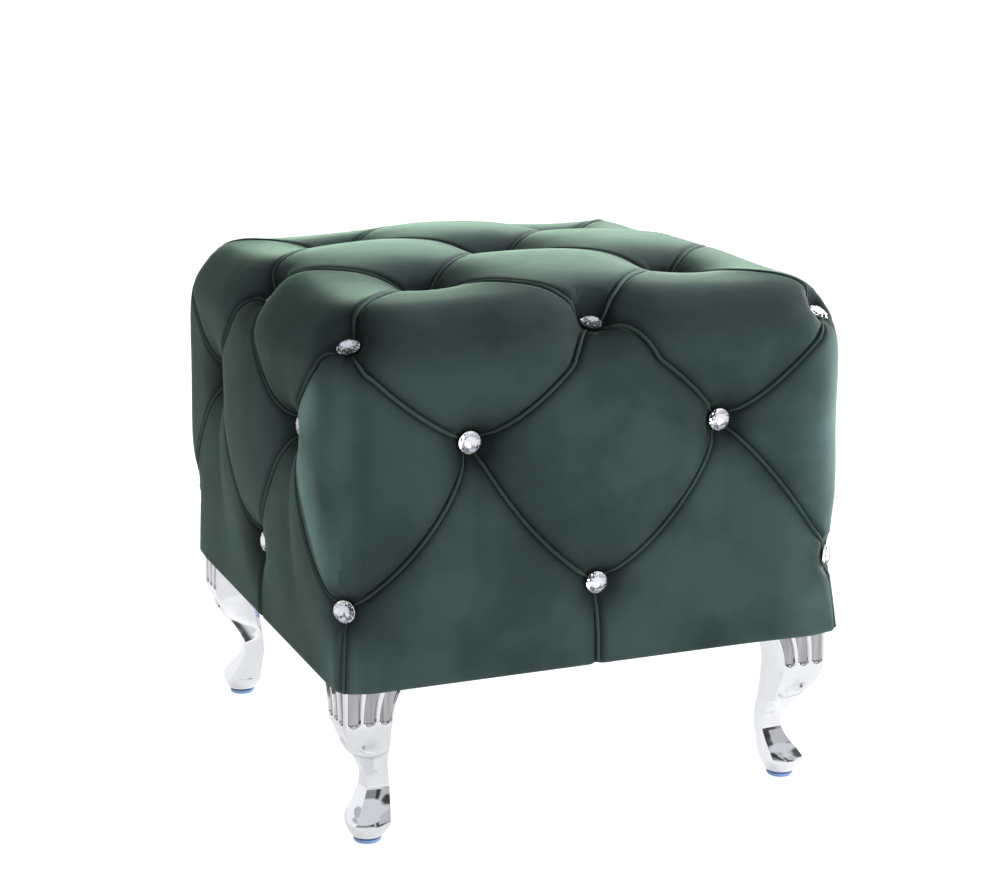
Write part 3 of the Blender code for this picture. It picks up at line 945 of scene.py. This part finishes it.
def set_stones(name, data, finish):
    """That mesh on every seat, as one plain object."""
    seat_data = bpy.data.meshes.new("seats")
    seat_data.from_pydata([middle + STONE_GAP * facing for _, middle, facing in seats], [], [])
    attribute = seat_data.attributes.new("facing", "FLOAT_VECTOR", "POINT")
    attribute.data.foreach_set("vector", np.array([facing for *_, facing in seats]).ravel())
    pattern = add_to_scene("pattern_stone", data)
    on_seats = add_to_scene(name, seat_data)
    made = made_plain(on_seats, setting, name, stone=pattern, material=finish)
    bpy.data.objects.remove(pattern, do_unlink=True)
    bpy.data.meshes.remove(data)
    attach(made, "root")
    return made


clouding, given, out = new_tree(
    "ShaderNodeTree", "clouding",
    (("Vector", "Vector"), ("Scale", "Float"), ("Detail", "Float"), ("Grain", "Float", 0.5),
     ("Start", "Float", 0.0), ("End", "Float", 1.0), ("Smooth", "Float"), ("Rough", "Float"),
     ("Clear", "Color"), ("Clouded", "Color")),
    (("Colour", "Color"), ("Roughness", "Float")),
)
cloud = node(
    clouding, "ShaderNodeTexNoise", Vector=given["Vector"], Scale=given["Scale"],
    Detail=given["Detail"], Roughness=given["Grain"],
).outputs["Fac"]
rough = spread(
    clouding, cloud, From_Min=given["Start"], From_Max=given["End"],
    To_Min=given["Smooth"], To_Max=given["Rough"],
)
fill(out, Colour=mixed(clouding, cloud, given["Clear"], given["Clouded"]), Roughness=rough)


def clouded(tree, where, **settings):
    """Colour and roughness that wander a little over a piece."""
    made = node(tree, "ShaderNodeGroup", node_tree=clouding, Vector=where, **settings)
    return made.outputs


GLASS_IOR = 1.54

glass, tree, shader = new_material("cut_crystal")
smears = clouded(
    tree, node(tree, "ShaderNodeTexCoord").outputs["Object"], Scale=420.0, Detail=2.0,
    Smooth=0.0, Rough=0.05, Clear=(0.96, 0.97, 1.0, 1), Clouded=(1.0, 0.99, 1.0, 1),
)
fill(
    shader, Base_Color=smears["Colour"], Roughness=smears["Roughness"],
    Transmission_Weight=1.0, IOR=GLASS_IOR,
)

silver, tree, shader = new_material("silvered_back")
tarnish = clouded(
    tree, node(tree, "ShaderNodeTexCoord").outputs["Object"], Scale=300.0, Detail=2.0,
    Smooth=0.03, Rough=0.14, Clear=(0.72, 0.73, 0.78, 1), Clouded=(0.95, 0.95, 0.97, 1),
)
fill(shader, Base_Color=tarnish["Colour"], Roughness=tarnish["Roughness"], Metallic=1.0)

stones = set_stones("cut_stones", faceted("stone", stone_mesh()), glass)
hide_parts(*[name for name, *_ in seats])
set_stones("stone_foils", faceted("foil", foil_mesh()), silver)

# --- Legs --------------------------------------------------------------------------------
# Four cast and chromed cabriole legs with their ridge to the corner: a block with three flutes
# on each outer face, a full knee with a small scroll in relief, and a foot with a dished lip.

LEG_SHAPE = (
    # height, ridge inset, side, roundness, spread from side to side
    (0.1477, 0.0080, 0.0505, 0.00, 1.04),
    (0.1380, 0.0080, 0.0462, 0.00, 1.03),
    (0.1270, 0.0080, 0.0432, 0.00, 1.02),
    (0.1160, 0.0080, 0.0420, 0.00, 1.00),
    (0.1010, 0.0106, 0.0395, 0.05, 0.97),
    (0.0885, 0.0168, 0.0338, 0.08, 0.97),
    (0.0765, 0.0250, 0.0265, 0.08, 0.98),
    (0.0660, 0.0312, 0.0218, 0.08, 1.02),
    (0.0570, 0.0350, 0.0188, 0.08, 1.10),
    (0.0495, 0.0350, 0.0190, 0.10, 1.12),
    (0.0415, 0.0325, 0.0208, 0.15, 1.12),
    (0.0335, 0.0280, 0.0242, 0.20, 1.10),
    (0.0255, 0.0225, 0.0288, 0.30, 1.05),
    (0.0180, 0.0190, 0.0315, 0.45, 1.02),
    (0.0115, 0.0216, 0.0262, 0.80, 1.00),
    (0.0063, 0.0245, 0.0206, 1.00, 1.00),
)
LIP_HEIGHT = 0.0180
FLUTES = 3
BLOCK_PROUD = 0.0020
BLOCK_FOOT = (0.1020, 0.1150)
FLUTE_DEPTH = 0.0026
FLUTE_END = 0.1215
FLUTE_TIP = 0.0060
FLUTE_BEVEL = 0.0022
FLUTE_WALL = (0.16, 0.42)
# On the knee: a curl round a bowl with an eye in it, and a raised line with a painted shadow below
# it.
KNEE_HEIGHT = 0.0950
KNEE_WIDTH = 0.034
KNEE_CLEAR = (0.02, 0.14)
CURL_RADIUS = 0.0085
CURL_WIDTH = 0.0014
CURL_TURN = 0.15
CURL_OPENING = (-0.60, 0.05)
CURL_PROUD = 0.0016
BOWL_WIDTH = 0.0060
BOWL_DEPTH = 0.0010
BOWL_DARK = 0.35
EYE_ASIDE = 0.0052
EYE_DOWN = 0.0012
EYE_SHAPE = (1.5, 0.7)
EYE_WIDTH = 0.0017
EYE_DEPTH = 0.0016
LINE_HEIGHT = 0.0835
LINE_BEND = 0.0070
LINE_WIDTH = 0.0016
LINE_PROUD = 0.0012
LINE_SHADOW = 0.0032
LINE_DARK = 0.55

RIDGE_SHARE = 0.5
INNER_HOLLOW = 0.06
LEG_SHARP = math.radians(38)
FACE_EVEN = 0.65
FACE_STEPS = 60
INNER_STEPS = 12
ROW_HEIGHT = 0.0009


def through(table, column, height):
    """A column of the leg's table at any height, on a smooth curve through its rows."""
    rows = np.array(table)[::-1]
    known, values = rows[:, 0], rows[:, column]
    slopes = np.diff(values) / np.diff(known)
    tangent = np.concatenate(([slopes[0]], (slopes[:-1] + slopes[1:]) / 2, [slopes[-1]]))
    tangent[1:-1] = np.where(slopes[:-1] * slopes[1:] <= 0, 0.0, tangent[1:-1])
    index = np.clip(np.searchsorted(known, height, side="right") - 1, 0, len(slopes) - 1)
    step = known[index + 1] - known[index]
    t = (height - known[index]) / step
    start, end = values[index], values[index + 1]
    curve = (2 * t**3 - 3 * t**2 + 1) * start + (3 * t**2 - 2 * t**3) * end
    leaving, arriving = tangent[index], tangent[index + 1]
    return curve + step * ((t**3 - 2 * t**2 + t) * leaving + (t**3 - t**2) * arriving)


def relief(across, height):
    """How far an outer face stands out, and how much painted shade and dark reflection it gets,
    from 0 to 1.

    Across runs from 0 at the ridge to 1 at the face's far side. The block above the knee stands
    proud and has three flutes with round ends, and the knee has a curl with a line under it.
    """
    local = 2 * (across * FLUTES % 1) - 1
    trough = eased(1 - np.abs(local), *FLUTE_WALL)
    end = FLUTE_END - FLUTE_TIP * np.sqrt(np.maximum(1 - local**2, 0.0))
    flute = trough * eased(height, end, end + FLUTE_BEVEL)
    block = BLOCK_PROUD * eased(height, *BLOCK_FOOT)
    x, z = (across - 0.5) * KNEE_WIDTH, height - KNEE_HEIGHT
    far, angle = np.hypot(x, z), np.arctan2(z, x)
    curl = bell(far - CURL_RADIUS, CURL_WIDTH)
    curl = curl * eased(-np.sin(angle + CURL_TURN), *CURL_OPENING)
    bowl = bell(far, BOWL_WIDTH)
    eye_x, eye_z = (x + EYE_ASIDE) * EYE_SHAPE[0], (z + EYE_DOWN) * EYE_SHAPE[1]
    eye = bell(np.hypot(eye_x, eye_z), EYE_WIDTH)
    above = height - (LINE_HEIGHT + LINE_BEND * (2 * across - 1) ** 2)
    line, shadow = bell(above, LINE_WIDTH), bell(above + LINE_SHADOW, LINE_WIDTH)
    inside = eased(across, *KNEE_CLEAR) * eased(1 - across, *KNEE_CLEAR)
    proud = CURL_PROUD * curl - BOWL_DEPTH * bowl - EYE_DEPTH * eye + LINE_PROUD * line
    dark = np.maximum(eye, np.maximum(BOWL_DARK * bowl, LINE_DARK * shadow))
    recess_shade = np.maximum(flute, inside * dark)
    return block - FLUTE_DEPTH * flute + inside * proud, recess_shade


def leg_grid():
    """Points of the front left leg, ring by ring from the top, and the painted shade on each one.
    """
    top, bottom = LEG_SHAPE[0][0], LEG_SHAPE[-1][0]
    heights = np.linspace(top, bottom, round((top - bottom) / ROW_HEIGHT) + 1)
    heights = np.sort(np.append(heights, LIP_HEIGHT))[::-1]
    inset, side, roundness, spread = (through(LEG_SHAPE, n, heights) for n in range(1, 5))
    face = (1 - np.cos(np.linspace(0, math.pi, FACE_STEPS + 1))) / 2
    face = (1 - FACE_EVEN) * face + FACE_EVEN * np.linspace(0, 1, FACE_STEPS + 1)
    inner = (1 - np.cos(np.linspace(0, math.pi, INNER_STEPS + 1))) / 2
    ones = np.ones
    p = np.concatenate((face[:-1], ones(INNER_STEPS), inner[:0:-1], np.zeros(FACE_STEPS)))
    q = np.concatenate((np.zeros(FACE_STEPS), inner[:-1], ones(INNER_STEPS), face[:0:-1]))
    h, f = heights[:, None], face[None, :]
    raised, recess_shade = relief(f, h)
    raised[:, 0] *= RIDGE_SHARE
    shades = np.zeros((len(heights), len(p)))
    shades[:, :FACE_STEPS] = recess_shade[:, :-1]
    shades[:, -FACE_STEPS:] = recess_shade[:, :0:-1]
    out_q = np.zeros((len(heights), len(p)))
    out_p = np.zeros_like(out_q)
    out_q[:, :FACE_STEPS] = raised[:, :-1]
    out_p[:, -FACE_STEPS:] = raised[:, :0:-1]
    out_p[:, 0] = raised[:, 0]
    hollow = INNER_HOLLOW * (np.sin(np.pi * p) * (q == 1) + np.sin(np.pi * q) * (p == 1))
    x = (p - 0.5 - hollow * (p == 1)) * side[:, None]
    y = (q - 0.5 - hollow * (q == 1)) * side[:, None]
    length = np.hypot(x, y)
    disc = side[:, None] / math.sqrt(2)
    share = roundness[:, None]
    x, y = x + (x / length * disc - x) * share, y + (y / length * disc - y) * share
    wider = (x - y) / 2 * (spread[:, None] - 1)
    middle = (inset + side / 2)[:, None]
    x = middle + x + wider - out_p - HEM_HALF
    y = middle + y - wider - out_q - HEM_HALF
    return np.stack((x, y, np.broadcast_to(h, x.shape)), axis=-1), shades


# Painted shade and dark reflection: in the flutes, the curl's bowl and eye, and under the knee's
# line, the chrome turns to these streaky dark greys.
RECESS_PAINTED_SHADE = ((0.20, 0.20, 0.21, 1), (0.66, 0.65, 0.67, 1))
SHADE_DRAWN_OUT = (1.0, 1.0, 0.05)

chrome, tree, shader = new_material("polished_chrome")
where = node(tree, "ShaderNodeTexCoord").outputs["Object"]
polish = clouded(
    tree, where, Scale=70.0, Detail=4.0, Grain=0.65, Start=0.35, End=0.75,
    Smooth=0.03, Rough=0.12, Clear=(0.90, 0.91, 0.93, 1), Clouded=(0.82, 0.83, 0.87, 1),
)
lengthwise = node(tree, "ShaderNodeMapping", Vector=where, Scale=SHADE_DRAWN_OUT)
streaks = node(
    tree, "ShaderNodeTexNoise", Vector=lengthwise.outputs["Vector"],
    Scale=260.0, Detail=2.0, Roughness=0.5,
)
painted_dark = mixed(tree, streaks.outputs["Fac"], *RECESS_PAINTED_SHADE)
recess_shade = node(tree, "ShaderNodeAttribute", attribute_name="recess_shade").outputs["Fac"]
ripple = node(tree, "ShaderNodeTexNoise", Vector=where, Scale=55.0, Detail=1.0)
cast = node(
    tree, "ShaderNodeBump", Strength=0.15, Distance=0.0006, Height=ripple.outputs["Fac"]
)
fill(
    shader, Base_Color=mixed(tree, recess_shade, polish["Colour"], painted_dark),
    Roughness=polish["Roughness"], Normal=cast.outputs["Normal"], Metallic=1.0,
)

CORNERS = ("front_left", "front_right", "back_right", "back_left")
leg_points, leg_recess_shades = leg_grid()
for turns, corner in enumerate(CORNERS):
    places = turned(leg_points, turns)
    shape = bmesh.new()
    rings = [[shape.verts.new(place) for place in row] for row in places]
    for upper, lower in zip(rings, rings[1:]):
        for here in range(len(upper)):
            after = (here + 1) % len(upper)
            shape.faces.new((upper[here], upper[after], lower[after], lower[here]))
    shape.faces.new(rings[0])
    shape.faces.new(rings[-1])
    bmesh.ops.recalc_face_normals(shape, faces=shape.faces)
    leg_data = bpy.data.meshes.new(f"chrome_leg_{corner}")
    shape.to_mesh(leg_data)
    shape.free()
    # The painted shade and dark reflection, kept for the chrome.
    attribute = leg_data.attributes.new("recess_shade", "FLOAT", "POINT")
    attribute.data.foreach_set("value", leg_recess_shades.ravel())
    leg_data.shade_smooth()
    leg_data.set_sharp_from_angle(angle=LEG_SHARP)
    leg_data.materials.append(chrome)
    leg = add_to_scene(f"chrome_leg_{corner}", leg_data)
    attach(leg, "root")
    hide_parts(f"leg_{corner}")

# --- Glides ------------------------------------------------------------------------------
# Four moulded discs of pale blue plastic, still in their bright film. Each is pinned up into
# the hollow of its foot, so the chrome doesn't touch the floor.

GLIDE_CENTRE = HEM_HALF - LEG_SHAPE[-1][1] - LEG_SHAPE[-1][2] / 2
GLIDE_PROFILE = (
    # radius, height
    (0.0, 0.0), (0.0095, 0.0), (0.0114, 0.0003), (0.0122, 0.0010), (0.0127, 0.0030),
    (0.0130, 0.0046), (0.0130, 0.0056), (0.0126, 0.0060), (0.0, 0.0060),
)
GLIDE_SIDES = 40
GLIDE_SHARP = math.radians(50)
# The disc turns a darker blue over its upper part, next to the foot.
TOP_BAND = (0.0030, 0.0048)
TOP_BAND_BLUE = (0.05, 0.09, 0.26, 1)

plastic, tree, shader = new_material("blue_plastic")
where = node(tree, "ShaderNodeTexCoord").outputs["Object"]
film = clouded(
    tree, where, Scale=180.0, Detail=3.0, Smooth=0.18, Rough=0.45,
    Clear=(0.18, 0.36, 0.88, 1), Clouded=(0.42, 0.66, 0.98, 1),
)
level = node(tree, "ShaderNodeSeparateXYZ", Vector=where).outputs["Z"]
top_band = spread(
    tree, level, interpolation_type="SMOOTHSTEP", From_Min=TOP_BAND[0], From_Max=TOP_BAND[1]
)
fill(
    shader, Base_Color=mixed(tree, top_band, film["Colour"], TOP_BAND_BLUE),
    Roughness=film["Roughness"],
)

for turns, corner in enumerate(CORNERS):
    centre = turned(np.array((-GLIDE_CENTRE, -GLIDE_CENTRE, 0.0)), turns)
    shape = bmesh.new()
    profile = [shape.verts.new((radius, 0.0, height)) for radius, height in GLIDE_PROFILE]
    edges = [shape.edges.new(pair) for pair in zip(profile, profile[1:])]
    bmesh.ops.spin(
        shape, geom=profile + edges, cent=(0, 0, 0), axis=(0, 0, 1), dvec=(0, 0, 0),
        angle=2 * math.pi, steps=GLIDE_SIDES,
    )
    bmesh.ops.remove_doubles(shape, verts=shape.verts, dist=WELD)
    bmesh.ops.recalc_face_normals(shape, faces=shape.faces)
    bmesh.ops.translate(shape, verts=shape.verts, vec=Vector(centre))
    glide_data = bpy.data.meshes.new(f"glide_disc_{corner}")
    shape.to_mesh(glide_data)
    shape.free()
    glide_data.shade_smooth()
    glide_data.set_sharp_from_angle(angle=GLIDE_SHARP)
    glide_data.materials.append(plastic)
    glide = add_to_scene(f"glide_disc_{corner}", glide_data)
    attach(glide, "root")
    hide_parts(f"glide_{corner}")
